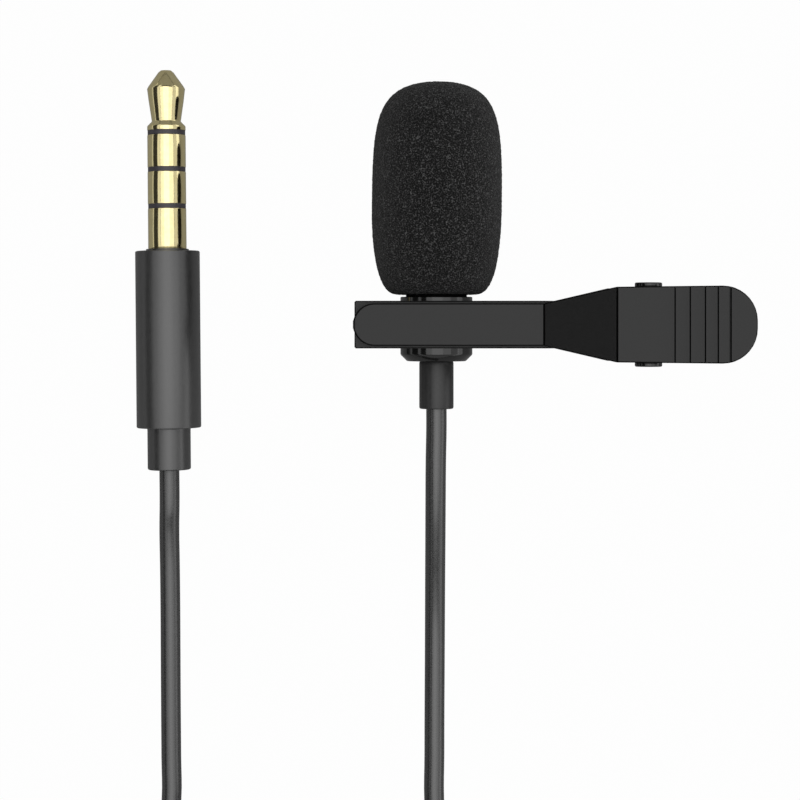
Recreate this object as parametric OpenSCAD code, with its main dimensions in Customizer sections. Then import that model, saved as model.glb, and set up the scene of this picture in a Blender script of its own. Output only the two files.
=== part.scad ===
// Lavalier microphone with a foam windscreen, a spring clip, a thin cord and a four-contact plug.
// The set lies on a table at z = 0, with the microphone's axis along Y and the clip along X.
// The origin is on the table, under the middle of the microphone and its clip.

/* [Windscreen] */
// Widest diameter of the foam
foam_d = 11.8; // [11:0.1:13]
// Height of the foam from its mouth to its crown
foam_h = 19.3; // [17:0.1:22]
// Height of the widest place above the mouth
foam_belly = 8; // [6:0.05:9]
// Diameter of the flat rim round the mouth
foam_rim_d = 7.3; // [6.8:0.1:8.5]
// Fullness of the crown towards the top
crown_fullness = 0.98; // [0.6:0.01:1]
// Fullness of the flanks above the widest place
flank_fullness = 0.7; // [0.5:0.01:0.9]
// Fullness of the flanks below the widest place
lower_fullness = 0.28; // [0.1:0.01:0.5]
// Fullness of the corner at the mouth
mouth_fullness = 0.92; // [0.6:0.01:1]
// Gap between the foam's socket and the barrel
foam_grip_gap = 0.05; // [0.02:0.01:0.1]
// Empty room in the foam above the barrel
foam_headroom = 1; // [0.6:0.1:2]
// Bare barrel between the capsule's body and the foam
foam_step = 0.2; // [0.1:0.05:0.4]

/* [Microphone head] */
// Diameter of the polished body
capsule_d = 6.5; // [6.2:0.1:7]
// Diameter of the barrel inside the foam
barrel_d = 5.5; // [5.2:0.1:5.7]
// Length of the barrel above the body
barrel_len = 8; // [7:0.1:10]
// Wall of the barrel
barrel_wall = 0.4; // [0.3:0.05:0.5]
// Body above the clip's middle
body_rise = 2.5; // [2.3:0.05:3]
// Body below the clip's middle
body_drop = 3.3; // [3:0.05:4]
// Chamfer at the body's lower end
body_chamfer = 0.6; // [0.3:0.05:0.8]
// Thickness of the body's lower end wall
end_wall = 1.6; // [1.2:0.1:2]
// Thickness of the grille disc
grille_t = 0.5; // [0.3:0.05:0.7]
// Diameter of a grille hole
grille_hole_d = 0.6; // [0.4:0.05:0.8]
// Holes in the ring round the grille's middle hole
grille_holes = 6; // [5:1:7]
// Radius of that ring of holes
grille_ring_r = 1.4; // [1.2:0.05:1.6]
// Thickness of the dust mesh
mesh_t = 0.15; // [0.1:0.01:0.2]
// Height of the electret can
can_h = 2; // [1.6:0.1:2.6]
// Wall of the rubber gasket round the can
gasket_t = 0.2; // [0.15:0.01:0.3]
// Thickness of the solder board
board_t = 0.5; // [0.4:0.05:0.8]
// Side gap round the solder board
board_gap = 0.05; // [0.03:0.01:0.1]
// Diameter of a stripped conductor
lead_d = 0.44; // [0.3:0.02:0.5]
// Distance between the two conductors
lead_spacing = 0.9; // [0.6:0.05:1.1]
// Length of the crimp ferrule
crimp_len = 1.3; // [1:0.1:2]
// Wall of the crimp ferrule
crimp_wall = 0.4; // [0.3:0.05:0.6]

/* [Strain relief of the head] */
// Outside diameter of the sleeve
sleeve_d = 3.1; // [2.8:0.05:3.4]
// Length of the sleeve
sleeve_len = 4.3; // [3.5:0.1:6]
// Rounding at the sleeve's end
sleeve_round = 0.25; // [0.1:0.05:0.35]
// Diameter of the grommet's waist in the end wall
grommet_waist_d = 2.5; // [2.3:0.05:2.8]
// Diameter of the grommet's inner flange
grommet_flange_d = 3.8; // [3.4:0.05:4.2]
// Thickness of the grommet's inner flange
grommet_flange_t = 0.6; // [0.4:0.05:0.8]

/* [Clip] */
// Thickness of both levers
lever_t = 1.25; // [1:0.05:1.5]
// Width of the front jaw bar
front_bar_w = 3.7; // [3.2:0.1:4]
// Width of the rear jaw bar and of the microphone ring
rear_bar_w = 4.2; // [3.8:0.1:4.5]
// Reach of the front jaw past the microphone's axis
front_tip = 7.4; // [6.5:0.1:9]
// Reach of the rear jaw past the microphone's axis
rear_tip = 7.3; // [6.3:0.1:8.8]
// Place of the bend behind the jaws
bend_x = 9.28; // [8.8:0.02:10.5]
// Start of the front thumb plate
plate_x = 15.34; // [14.8:0.02:16]
// Rise of the front lever between the two
plate_rise = 3.1; // [2.6:0.1:3.6]
// Width of the thumb plates at their start
plate_w = 6.5; // [6:0.1:7]
// Width of the thumb plates at their end
plate_end_w = 6.7; // [6.2:0.1:7.2]
// End of the thumb plates
thumb_end = 27.4; // [26.8:0.1:29]
// Corner radius of the thumb plates
plate_corner_r = 3; // [1.5:0.05:3.05]
// Length of the flat foot under the rear thumb plate's end
foot_len = 1.5; // [1:0.1:2.4]
// Height of a jaw tooth
tooth_h = 0.25; // [0.15:0.05:0.35]
// Distance from tooth to tooth
tooth_pitch = 0.8; // [0.6:0.05:1.2]
// Gap between the closed jaws
jaw_gap = 0.05; // [0.03:0.01:0.1]
// Radial gap between the ring and the body
ring_gap = 0.05; // [0.02:0.01:0.09]
// Wall of the microphone ring
ring_wall = 0.9; // [0.7:0.05:1.2]
// Least wall between the ring's bore and the rear bar
ring_crown = 0.35; // [0.25:0.05:0.6]

/* [Grip ribs] */
// Place of the first rib's edge
rib_x = 20.35; // [20:0.05:20.6]
// Width of the first two ribs
wide_rib = 1.3; // [1.1:0.05:1.4]
// Width of the last two ribs
narrow_rib = 1.1; // [0.9:0.05:1.2]
// Width of the groove before each edge
rib_groove_w = 0.32; // [0.2:0.02:0.4]
// Depth of that groove
rib_groove_d = 0.26; // [0.15:0.02:0.4]
// Size of the fine crease at the bends
crease = 0.14; // [0.08:0.02:0.2]

/* [Hinge] */
// Place of the hinge pin
pin_x = 18.55; // [18.2:0.05:18.8]
// Diameter of the hinge pin
pin_d = 1.5; // [1.2:0.1:1.8]
// Diameter of the pin's heads
pin_head_d = 2.4; // [2.1:0.1:2.8]
// Thickness of a head
pin_head_t = 0.45; // [0.3:0.05:0.6]
// Radial running clearance in the rear ears
pin_clearance = 0.05; // [0.02:0.01:0.09]
// Thickness of an ear
ear_t = 0.8; // [0.6:0.05:0.95]
// Side gap between front and rear ears
ear_gap = 0.1; // [0.05:0.05:0.2]
// Radius of an ear round the pin
ear_r = 1.7; // [1.4:0.1:1.9]
// Half length of a front ear at its plate
front_ear_half = 2.6; // [2:0.1:3]
// Half length of a rear ear at its plate
rear_ear_half = 3; // [2.4:0.1:3.4]

/* [Spring] */
// Wire diameter
wire_d = 0.35; // [0.3:0.05:0.45]
// Full turns between the legs
spring_turns = 2; // [1:1:2]
// Distance from turn to turn
spring_pitch = 0.9; // [0.86:0.02:0.96]
// Gap between the pin and the turns
spring_clearance = 0.3; // [0.2:0.05:0.4]
// Reach of the front leg behind the pin
front_leg_reach = 5.8; // [4.5:0.1:7]
// Reach of the rear leg behind the pin
rear_leg_reach = 4.8; // [4.6:0.1:6]

/* [Cord] */
// Outside diameter of the cord
cord_d = 1.85; // [1.7:0.05:1.95]
// Largest radius of the coil's turns
coil_r = 16.8; // [16:0.1:18]
// Turns in one layer of the coil
layer_turns = 5.125; // [4.625, 5.125]
// Distance between turns and between layers
wind_pitch = 2.35; // [2.35:0.01:2.4]
// Width of the tie round the coil
tie_w = 5; // [3:0.5:6]
// Thickness of the tie
tie_t = 0.5; // [0.4:0.05:0.8]
// Gap between tie and coil
tie_gap = 0.05; // [0.03:0.01:0.2]

/* [Plug] */
// Diameter of the contacts
plug_d = 3.5; // [3.4:0.05:3.6]
// Exposed length of the sleeve contact
sleeve_contact_len = 3.7; // [3:0.05:4.5]
// Exposed length of each ring contact
ring_contact_len = 2.95; // [2.4:0.05:3.2]
// Thickness of an insulating band
band_t = 0.42; // [0.3:0.02:0.6]
// Straight part of the tip next to its band
tip_shank = 0.4; // [0.3:0.05:0.6]
// Length of the flare from the shank to the neck
tip_flare = 0.43; // [0.3:0.01:0.6]
// Diameter of the tip's neck
tip_neck_d = 2.64; // [2.4:0.02:2.9]
// Length of the taper from the neck to the widest place
tip_taper = 2.98; // [2:0.02:3.2]
// Diameter of the tip at its widest place
tip_wide_d = 3.46; // [3.3:0.02:3.48]
// Length of the nose
tip_nose = 1.7; // [1.2:0.05:1.8]
// Diameter of the nose's flat end
tip_flat_d = 1.1; // [0.9:0.1:1.6]
// Diameter of the tip's centre rod
rod_d = 0.9; // [0.8:0.05:0.95]
// Wall of a ring contact's tube
contact_wall = 0.18; // [0.15:0.01:0.2]
// Wall of an insulating tube
insulation_wall = 0.2; // [0.16:0.01:0.22]
// Diameter of the sleeve contact's root behind the collar
root_d = 3.1; // [3.06:0.02:3.16]
// Step from tail to tail behind the contacts
tail_step = 0.8; // [0.6:0.05:1]
// Diameter of the flange that anchors the sleeve contact
anchor_d = 4.2; // [4:0.05:4.4]
// Thickness of that flange
anchor_t = 0.4; // [0.3:0.05:0.5]
// Length of the moulded block round the flange
mould_len = 1.1; // [0.9:0.05:1.3]
// Outside diameter of the housing
housing_d = 5.9; // [5.6:0.05:6.4]
// Length of the housing
housing_len = 16.2; // [15.5:0.1:18]
// Wall of the housing
housing_wall = 0.5; // [0.4:0.05:0.6]
// Thickness of the housing's front wall
housing_front = 0.8; // [0.6:0.05:1]
// Rounding of the housing's edges
housing_round = 0.25; // [0.1:0.05:0.4]
// Diameter of the collar at the shoulder
collar_d = 3.9; // [3.8:0.02:3.94]
// Thickness of the collar
collar_t = 0.18; // [0.12:0.02:0.3]
// Diameter of the plug's strain relief
relief_d = 3.95; // [3.6:0.05:4.3]
// Length of the plug's strain relief
relief_len = 3.85; // [3:0.05:5]
// Length of its root inside the housing
relief_root = 1.6; // [1.2:0.1:2]
// Length of jacket inside the housing past the root
jacket_tail = 1.2; // [0.8:0.1:1.6]
// Place of the plug beside the microphone
plug_x = -24.57; // [-26:0.01:-24]
// Place of the housing's front along the microphone's axis
shoulder_y = 6.75; // [6:0.05:7.5]
// Lean of the plug towards the left
plug_lean = 0.5; // [0:0.1:1]

/* [Hidden] */

$fn = 64;
far = 100;

// Heights above the table
mic_z = foam_d / 2;
ring_bore_r = capsule_d / 2 + ring_gap;
rear_under = mic_z + ring_bore_r + ring_crown;
jaw_z = rear_under + lever_t;
front_under = jaw_z + jaw_gap + tooth_h;
front_top = front_under + lever_t;
plate_top = front_top + plate_rise;
plate_under = plate_top - lever_t;
pin_z = (jaw_z + front_under) / 2;

// Places along the microphone's axis, from the clip's middle
foam_mouth = body_rise + foam_step;
foam_top = foam_mouth + foam_h;
barrel_top = body_rise + barrel_len;
bore_r = barrel_d / 2 - barrel_wall;
bore_floor = end_wall - body_drop;
grille_y = barrel_top - grille_t;
mesh_y = grille_y - mesh_t;
can_y = mesh_y - can_h;
board_y = can_y - board_t;
flange_y = bore_floor + grommet_flange_t;
jacket_y = flange_y + crimp_len;
sleeve_end = -body_drop - sleeve_len;

// Middle of everything but the cord
middle_x = (thumb_end - front_tip) / 2;
middle_y = (foam_top + sleeve_end) / 2;

// Levers
front_bend = atan(plate_rise / (plate_x - bend_x));
foot_x = thumb_end - foot_len;
rear_bend = atan(rear_under / (foot_x - bend_x));
rear_upright = lever_t / cos(rear_bend);
rear_corner_x = bend_x + (rear_upright - lever_t) / tan(rear_bend);
front_miter = lever_t * tan(front_bend / 2);
plate_corner_x = thumb_end - plate_corner_r;
rib_edges = [
    rib_x,
    rib_x + wide_rib,
    rib_x + 2 * wide_rib,
    rib_x + 2 * wide_rib + narrow_rib,
    rib_x + 2 * wide_rib + 2 * narrow_rib
];
teeth_from = -front_tip + front_bar_w / 2;
teeth = floor((bend_x - 1 - teeth_from) / tooth_pitch);
ear_out = plate_w / 2;
front_ear_in = ear_out - ear_t;
rear_ear_out = front_ear_in - ear_gap;
rear_ear_in = rear_ear_out - ear_t;
ear_overlap = 0.2;

// Spring
spring_r = pin_d / 2 + spring_clearance + wire_d / 2;
front_leg_end = [pin_x + front_leg_reach, plate_under - wire_d / 2];
rear_leg_end = [
    pin_x + rear_leg_reach,
    rear_top(pin_x + rear_leg_reach) + wire_d / 2 / cos(rear_bend)
];
rings_per_curl = 8;
wire_sides = 6;

// Plug, along its own axis from the clip's middle
plug_z = housing_d / 2;
plug_r = plug_d / 2;
root_r = root_d / 2;
contacts_start = shoulder_y + collar_t;
sleeve_front = contacts_start + sleeve_contact_len;
second_ring_back = sleeve_front + band_t;
second_ring_front = second_ring_back + ring_contact_len;
first_ring_back = second_ring_front + band_t;
first_ring_front = first_ring_back + ring_contact_len;
tip_back = first_ring_front + band_t;
housing_back = shoulder_y - housing_len;
front_wall_back = shoulder_y - housing_front;
mould_back = front_wall_back - mould_len;
anchor_back = (mould_back + front_wall_back - anchor_t) / 2;
cavity_r = housing_d / 2 - housing_wall;
sleeve_tail = mould_back - tail_step;
second_ring_tail = sleeve_tail - 2 * tail_step;
first_ring_tail = second_ring_tail - 2 * tail_step;
rod_tail = first_ring_tail - 2 * tail_step;
rod_r = rod_d / 2;
first_tube_in = rod_r + insulation_wall;
first_tube_out = first_tube_in + contact_wall;
second_tube_in = first_tube_out + insulation_wall;
second_tube_out = second_tube_in + contact_wall;
sleeve_in = second_tube_out + insulation_wall;
solder_gap = 0.02;
solder_step = 0.1;
relief_end = housing_back - relief_len;
root_front = housing_back + relief_root;
jacket_front = root_front + jacket_tail;

// Cord. The route points are measured from the microphone's axis and the clip's middle.
cord_r = cord_d / 2;
cord_sides = 8;
coil_centre = [-12.2, -63.5];
coil_base = tie_t + tie_gap + cord_r;
coil_layers = 4;
coil_turns = coil_layers * layer_turns;
coil_top = coil_base + (coil_layers - 1) * wind_pitch;
coil_inner_r = coil_r - layer_turns * wind_pitch;
rings_per_turn = 24;
coil_sides = 6;
coil_in = [coil_centre.x + coil_r, coil_centre.y + cord_d, coil_base];
coil_out = [coil_centre.x - coil_r, coil_centre.y + cord_d, coil_top];
microphone_route = concat(
    [[0, sleeve_end, mic_z], [0, sleeve_end - cord_d, mic_z]],
    [
        [-0.05, -12.5, 5.7], [-0.06, -16, 5], [-0.06, -20, 3.8], [-0.06, -24, 2.5],
        [-0.06, -28, 1.5], [-0.07, -32, 1.05], [-0.09, -36, 0.93], [-0.1, -40, 0.93],
        [-0.12, -44, 0.93], [0.15, -47.5, 0.93], [0.95, -51, 0.95], [2.25, -54.5, 1.1],
        [3.6, -57.5, 1.3]
    ],
    [coil_in + [0, 1, 0], coil_in]
);
plug_route = concat(
    [coil_out, coil_out + [0, 1, 0]],
    [
        [-29.15, -58.5, 7.9], [-29.2, -56.3, 6.4], [-28.5, -54.2, 4.5], [-27.2, -52.1, 2.7],
        [-25.8, -49.7, 1.5], [-24.82, -47, 1], [-24.48, -44, 0.93], [-24.5, -40, 0.93],
        [-24.53, -36, 0.93], [-24.56, -31, 0.93], [-24.58, -26, 1], [-24.58, -22, 1.4],
        [-24.55, -19, 2.1]
    ],
    [plug_point(relief_end - 1.5 * cord_d), plug_point(relief_end)]
);

function unit(v) = v / norm(v);
function cubic(a, b, c, d, t) =
    pow(1 - t, 3) * a + 3 * pow(1 - t, 2) * t * b + 3 * (1 - t) * t * t * c + t * t * t * d;
function curve(a, b, c, d, steps) = [for (i = [0 : steps]) cubic(a, b, c, d, i / steps)];
function rear_top(x) = rear_under + rear_upright - (x - bend_x) * tan(rear_bend);
function plug_point(s) = [plug_x - s * sin(plug_lean), s * cos(plug_lean), plug_z];

// Direction of a path at one of its points
function heading(path, i) =
    unit(path[min(i + 1, len(path) - 1)] - path[max(i - 1, 0)]);
function ring_points(path, i, r, sides, up) =
    let (along = heading(path, i), side = unit(cross(along, up)), rise = cross(side, along))
    [for (k = [0 : sides - 1]) path[i] + r * (cos(360 * k / sides) * side
        + sin(360 * k / sides) * rise)];

// Least distance between the surfaces of turns that lie at least "apart" points from each other
function least_gap(path, apart, d) =
    min([for (i = [0 : len(path) - apart - 1]) min([for (j = [i + apart : len(path) - 1])
        norm(path[i] - path[j])])]) - d;

// The coil spirals in and out, and climbs a layer in the half turn where it reverses
function coil_radius(t) =
    let (layer = min(floor(t / layer_turns), coil_layers - 1), part = t / layer_turns - layer)
    layer % 2 == 0 ? coil_r - part * (coil_r - coil_inner_r)
        : coil_inner_r + part * (coil_r - coil_inner_r);
function climb(t, k) = max(0, min(1, (t - k * layer_turns) * 2 + 0.5));
function coil_height(t) = coil_base + wind_pitch * (climb(t, 1) + climb(t, 2) + climb(t, 3));
function coil_point(t) = [
    coil_centre.x + coil_radius(t) * cos(360 * t),
    coil_centre.y - coil_radius(t) * sin(360 * t),
    coil_height(t)
];
coil_path = concat(
    [coil_in],
    [for (i = [0 : coil_turns * rings_per_turn]) coil_point(i / rings_per_turn)],
    [coil_out]
);
coil_gap = least_gap(coil_path, rings_per_turn / 2, cord_d);
echo(str("least gap of the coil to itself: ", coil_gap, " mm"));

// The spring's wire comes up the rear leg, winds round the pin and leaves along the front leg
function leg_angle(end, turn) =
    let (v = end - [pin_x, pin_z])
    atan2(v.y, v.x) + turn * acos(spring_r / norm(v));
wind_from = leg_angle(rear_leg_end, -1);
wind_to = leg_angle(front_leg_end, 1) - 360;
wind_sweep = wind_from - wind_to + 360 * spring_turns;
spring_width = spring_pitch * wind_sweep / 360;
curl_rings = ceil(wind_sweep / 360 * rings_per_curl);
function spring_point(f) = [
    pin_x + spring_r * cos(wind_from - f * wind_sweep),
    (f - 0.5) * spring_width,
    pin_z + spring_r * sin(wind_from - f * wind_sweep)
];
spring_turns_path = [for (i = [0 : curl_rings]) spring_point(i / curl_rings)];
spring_path = concat(
    [[rear_leg_end.x, -spring_width / 2, rear_leg_end.y]],
    spring_turns_path,
    [[front_leg_end.x, spring_width / 2, front_leg_end.y]]
);
spring_gap = least_gap(spring_turns_path, rings_per_curl / 2, wire_d);
echo(str("least gap of the spring to itself: ", spring_gap, " mm"));

// A solid tube along a path; "up" is a direction that the path never takes
module tube(path, d, sides, up) {
    last = len(path) - 1;
    points = [for (i = [0 : last]) each ring_points(path, i, d / 2, sides, up)];
    start_cap = [for (k = [1 : sides - 2]) [0, k + 1, k]];
    end_cap = [for (k = [1 : sides - 2]) [last * sides, last * sides + k, last * sides + k + 1]];
    walls = [
        for (i = [0 : last - 1], k = [0 : sides - 1])
            let (a = i * sides + k, b = i * sides + (k + 1) % sides)
            each [[a, b, b + sides], [a, b + sides, a + sides]]
    ];
    polyhedron(points = points, faces = concat(start_cap, walls, end_cap));
}

// Moves a piece from the microphone's axis and the clip's middle to the origin's place
module placed() {
    translate([-middle_x, -middle_y, 0]) children();
}

// A piece turned about the microphone's axis, from its half section
module head_turned() {
    placed() translate([0, 0, mic_z]) rotate([-90, 0, 0]) rotate_extrude() children();
}

// A piece turned about the plug's axis, from its half section
module plug_turned() {
    placed() translate([plug_x, 0, plug_z]) rotate([0, 0, plug_lean]) rotate([-90, 0, 0])
        rotate_extrude() children();
}

// Half section between two radii and two places on the axis
module wall(r_in, r_out, from, to) {
    translate([r_in, from]) square([r_out - r_in, to - from]);
}

// Half section of a round bar with one rounded end edge; side is 1 for its far end, -1 for its near
module rounded_wall(r_in, r_out, from, to, round, side) {
    wall(r_in, r_out - round, from, to);
    wall(r_in, r_out, side > 0 ? from : from + round, side > 0 ? to - round : to);
    translate([r_out - round, side > 0 ? to - round : from + round]) circle(r = round);
}

// A straight round wire from one place to another
module wire(from, to, d) {
    v = to - from;
    translate(from) rotate([0, acos(v.z / norm(v)), atan2(v.y, v.x)])
        cylinder(d = d, h = norm(v), $fn = 24);
}

// A plate drawn from the side, as wide as w
module side_plate(w) {
    rotate([90, 0, 0]) linear_extrude(height = w, center = true) children();
}

module foam_windscreen() {
    r = foam_d / 2;
    rim = foam_rim_d / 2;
    belly = foam_mouth + foam_belly;
    socket = barrel_d / 2 + foam_grip_gap;
    roof = barrel_top + foam_headroom;
    dome = curve([0, foam_top], [crown_fullness * r, foam_top],
        [r, belly + flank_fullness * (foam_top - belly)], [r, belly], 20);
    flank = curve([r, belly], [r, belly - lower_fullness * foam_belly],
        [rim + mouth_fullness * (r - rim), foam_mouth], [rim, foam_mouth], 14);
    color([0.06, 0.06, 0.06]) head_turned() difference() {
        polygon(concat([[0, foam_mouth]], dome, [for (i = [1 : len(flank) - 1]) flank[i]]));
        translate([-socket, foam_mouth - 1]) square([2 * socket, roof - foam_mouth + 1]);
    }
}

module capsule_housing() {
    color([0.13, 0.13, 0.13]) head_turned() difference() {
        polygon([
            [0, -body_drop], [capsule_d / 2 - body_chamfer, -body_drop],
            [capsule_d / 2, -body_drop + body_chamfer], [capsule_d / 2, body_rise],
            [barrel_d / 2, body_rise], [barrel_d / 2, barrel_top], [0, barrel_top]
        ]);
        wall(-1, bore_r, bore_floor, barrel_top + 1);
        wall(-1, grommet_waist_d / 2, -body_drop - 1, bore_floor + 1);
    }
}

module front_grille() {
    color([0.2, 0.2, 0.2]) placed() translate([0, grille_y, mic_z]) rotate([-90, 0, 0])
        difference() {
            cylinder(r = bore_r, h = grille_t);
            translate([0, 0, -1]) cylinder(d = grille_hole_d, h = grille_t + 2, $fn = 24);
            for (i = [0 : grille_holes - 1]) rotate(i * 360 / grille_holes)
                translate([grille_ring_r, 0, -1])
                    cylinder(d = grille_hole_d, h = grille_t + 2, $fn = 24);
        }
}

module dust_mesh() {
    color([0.1, 0.1, 0.1]) head_turned() wall(0, bore_r, mesh_y, grille_y);
}

module electret_capsule() {
    can_r = bore_r - gasket_t;
    color([0.75, 0.76, 0.78]) head_turned() difference() {
        rounded_wall(0, can_r, can_y, mesh_y, 0.2, 1);
        wall(-1, 0.8, mesh_y - 0.3, mesh_y + 1);
    }
}

module capsule_gasket() {
    color([0.05, 0.05, 0.05]) head_turned() wall(bore_r - gasket_t, bore_r, board_y, mesh_y);
}

module capsule_board() {
    color([0.1, 0.35, 0.18]) head_turned()
        wall(0, bore_r - gasket_t - board_gap, board_y, can_y);
}

module capsule_leads() {
    color([0.75, 0.3, 0.2]) placed() for (side = [-1, 1])
        wire([side * lead_spacing / 2, jacket_y, mic_z], [side * lead_spacing / 2, board_y, mic_z],
            lead_d);
}

module capsule_cord_end() {
    color([0.16, 0.16, 0.16]) head_turned() wall(0, cord_r, sleeve_end, jacket_y);
}

module cord_crimp() {
    color([0.7, 0.7, 0.72]) head_turned() wall(cord_r, cord_r + crimp_wall, flange_y, jacket_y);
}

module capsule_strain_relief() {
    color([0.15, 0.15, 0.15]) head_turned() {
        rounded_wall(cord_r, sleeve_d / 2, sleeve_end, -body_drop, sleeve_round, -1);
        wall(cord_r, grommet_waist_d / 2, -body_drop - 0.1, bore_floor + 0.1);
        wall(cord_r, grommet_flange_d / 2, bore_floor, flange_y);
    }
}

// Outline of a lever seen from above: a bar that widens into a thumb plate with round corners.
// Both levers widen along the same line, so the wider bar leaves it later.
module lever_outline(bar_w, tip, round_tip) {
    w = plate_end_w / 2 - plate_corner_r;
    start = round_tip ? bar_w / 2 - tip : -tip;
    flare_x = bend_x
        + (plate_x - bend_x) * (bar_w - front_bar_w) / (plate_w - front_bar_w);
    polygon([
        [start, -bar_w / 2], [flare_x, -bar_w / 2], [plate_x, -plate_w / 2],
        [plate_corner_x, -plate_end_w / 2], [plate_corner_x, plate_end_w / 2],
        [plate_x, plate_w / 2], [flare_x, bar_w / 2], [start, bar_w / 2]
    ]);
    if (round_tip) translate([start, 0]) circle(d = bar_w);
    for (side = [-1, 1]) translate([plate_corner_x, side * w]) circle(r = plate_corner_r);
    translate([plate_corner_x, -w]) square([plate_corner_r, 2 * w]);
}

// A pair of ears on both sides, with their inner faces at +-inner
module ear_pair(inner) {
    for (side = [-1, 1]) translate([0, side * (inner + ear_t / 2), 0]) side_plate(ear_t)
        children();
}

module pin_hole(r) {
    translate([pin_x, 0, pin_z]) rotate([90, 0, 0]) cylinder(r = r, h = far, center = true);
}

module rib_groove(x, z) {
    polygon([[x - rib_groove_w, z + 0.01], [x, z + 0.01], [x, z - rib_groove_d]]);
}

module rear_lever() {
    foot_top = rear_top(thumb_end);
    color([0.23, 0.23, 0.23]) placed() difference() {
        union() {
            intersection() {
                side_plate(far) polygon([
                    [-rear_tip, rear_under], [bend_x, rear_under], [foot_x, 0], [thumb_end, 0],
                    [thumb_end, foot_top], [rear_corner_x, jaw_z], [-rear_tip, jaw_z]
                ]);
                linear_extrude(height = far) lever_outline(rear_bar_w, rear_tip, false);
            }
            translate([0, 0, mic_z]) rotate([90, 0, 0])
                cylinder(r = ring_bore_r + ring_wall, h = rear_bar_w, center = true);
            ear_pair(rear_ear_in) {
                translate([pin_x, pin_z]) circle(r = ear_r);
                polygon([
                    [pin_x - ear_r, pin_z], [pin_x + ear_r, pin_z],
                    [pin_x + rear_ear_half, rear_top(pin_x + rear_ear_half) - ear_overlap],
                    [pin_x - rear_ear_half, rear_top(pin_x - rear_ear_half) - ear_overlap]
                ]);
            }
        }
        translate([0, 0, mic_z]) rotate([90, 0, 0])
            cylinder(r = ring_bore_r, h = rear_bar_w + 1, center = true);
        translate([-far / 2, -far / 2, jaw_z]) cube([far / 2 + bend_x - ear_r, far, far]);
        pin_hole(pin_d / 2 + pin_clearance);
        for (x = rib_edges) if (x < foot_x) side_plate(far) rear_groove(x);
    }
}

// Grooves on the rear thumb plate's outer side
module rear_groove(x) {
    z = rear_top(x) - rear_upright;
    translate([x, z]) rotate(-rear_bend)
        polygon([[-rib_groove_w, -0.01], [0, -0.01], [0, rib_groove_d]]);
}

module front_lever() {
    color([0.25, 0.25, 0.25]) placed() difference() {
        union() {
            intersection() {
                side_plate(far) difference() {
                    polygon(concat(
                        [
                            [-front_tip, front_under], [-front_tip, front_top],
                            [bend_x, front_top], [plate_x, plate_top], [thumb_end, plate_top],
                            [thumb_end, plate_under], [plate_x + front_miter, plate_under],
                            [bend_x + front_miter, front_under]
                        ],
                        [for (i = [teeth - 1 : -1 : 0]) each [
                            [teeth_from + (i + 1) * tooth_pitch, front_under],
                            [teeth_from + (i + 0.5) * tooth_pitch, front_under - tooth_h]
                        ]],
                        [[teeth_from, front_under]]
                    ));
                    for (x = rib_edges) rib_groove(x, plate_top);
                    translate([bend_x, front_top]) rotate(45) square(crease, center = true);
                    translate([plate_x, plate_top]) rotate(45) square(crease, center = true);
                }
                linear_extrude(height = far) lever_outline(front_bar_w, front_tip, true);
            }
            ear_pair(front_ear_in) {
                translate([pin_x, pin_z]) circle(r = ear_r);
                polygon([
                    [pin_x - ear_r, pin_z], [pin_x + ear_r, pin_z],
                    [pin_x + front_ear_half, plate_under + ear_overlap],
                    [pin_x - front_ear_half, plate_under + ear_overlap]
                ]);
            }
        }
        pin_hole(pin_d / 2);
    }
}

module hinge_pin() {
    color([0.12, 0.12, 0.12]) placed() translate([pin_x, 0, pin_z]) rotate([90, 0, 0])
        rotate_extrude() {
            wall(0, pin_d / 2, -ear_out, ear_out);
            rounded_wall(0, pin_head_d / 2, ear_out, ear_out + pin_head_t, 0.15, 1);
            rounded_wall(0, pin_head_d / 2, -ear_out - pin_head_t, -ear_out, 0.15, -1);
        }
}

module hinge_spring() {
    color([0.7, 0.7, 0.72]) placed() tube(spring_path, wire_d, wire_sides, [0, 1, 0]);
}

module cord_microphone_run() {
    color([0.16, 0.16, 0.16]) placed() tube(microphone_route, cord_d, cord_sides, [1, 0, 0]);
}

module cord_coil() {
    color([0.16, 0.16, 0.16]) placed() tube(coil_path, cord_d, coil_sides, [0, 0, 1]);
}

module cord_plug_run() {
    color([0.16, 0.16, 0.16]) placed() tube(plug_route, cord_d, cord_sides, [1, 0, 0]);
}

// The tie lies round all the turns on the far side of the coil
module cord_tie() {
    inner = sqrt(pow(coil_inner_r - cord_r, 2) - pow(tie_w / 2, 2)) - tie_gap;
    outer = coil_r + cord_r + tie_gap;
    height = coil_top + cord_r + tie_gap - tie_t;
    color([0.1, 0.1, 0.1]) placed() translate([coil_centre.x, coil_centre.y, tie_t])
        rotate([0, 0, -90]) side_plate(tie_w) difference() {
            translate([inner - tie_t, -tie_t])
                square([outer - inner + 2 * tie_t, height + 2 * tie_t]);
            translate([inner, 0]) square([outer - inner, height]);
        }
}

module plug_strain_relief() {
    color([0.18, 0.18, 0.18]) plug_turned() {
        rounded_wall(cord_r, relief_d / 2, relief_end, housing_back + 0.1, 0.2, -1);
        wall(cord_r, cavity_r, housing_back, root_front);
    }
}

module plug_housing() {
    color([0.25, 0.25, 0.25]) plug_turned() difference() {
        union() {
            rounded_wall(0, housing_d / 2, 0, shoulder_y, housing_round, 1);
            rounded_wall(0, housing_d / 2, housing_back, 0, housing_round, -1);
        }
        wall(-1, cavity_r, housing_back - 1, front_wall_back);
        wall(-1, root_r, 0, shoulder_y + 1);
    }
}

module plug_collar() {
    color([0.3, 0.28, 0.2]) plug_turned() wall(root_r, collar_d / 2, shoulder_y, contacts_start);
}

module plug_inner_mould() {
    color([0.85, 0.85, 0.82]) plug_turned() difference() {
        wall(root_r, cavity_r, mould_back, front_wall_back);
        wall(0, anchor_d / 2, anchor_back, anchor_back + anchor_t);
    }
}

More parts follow.
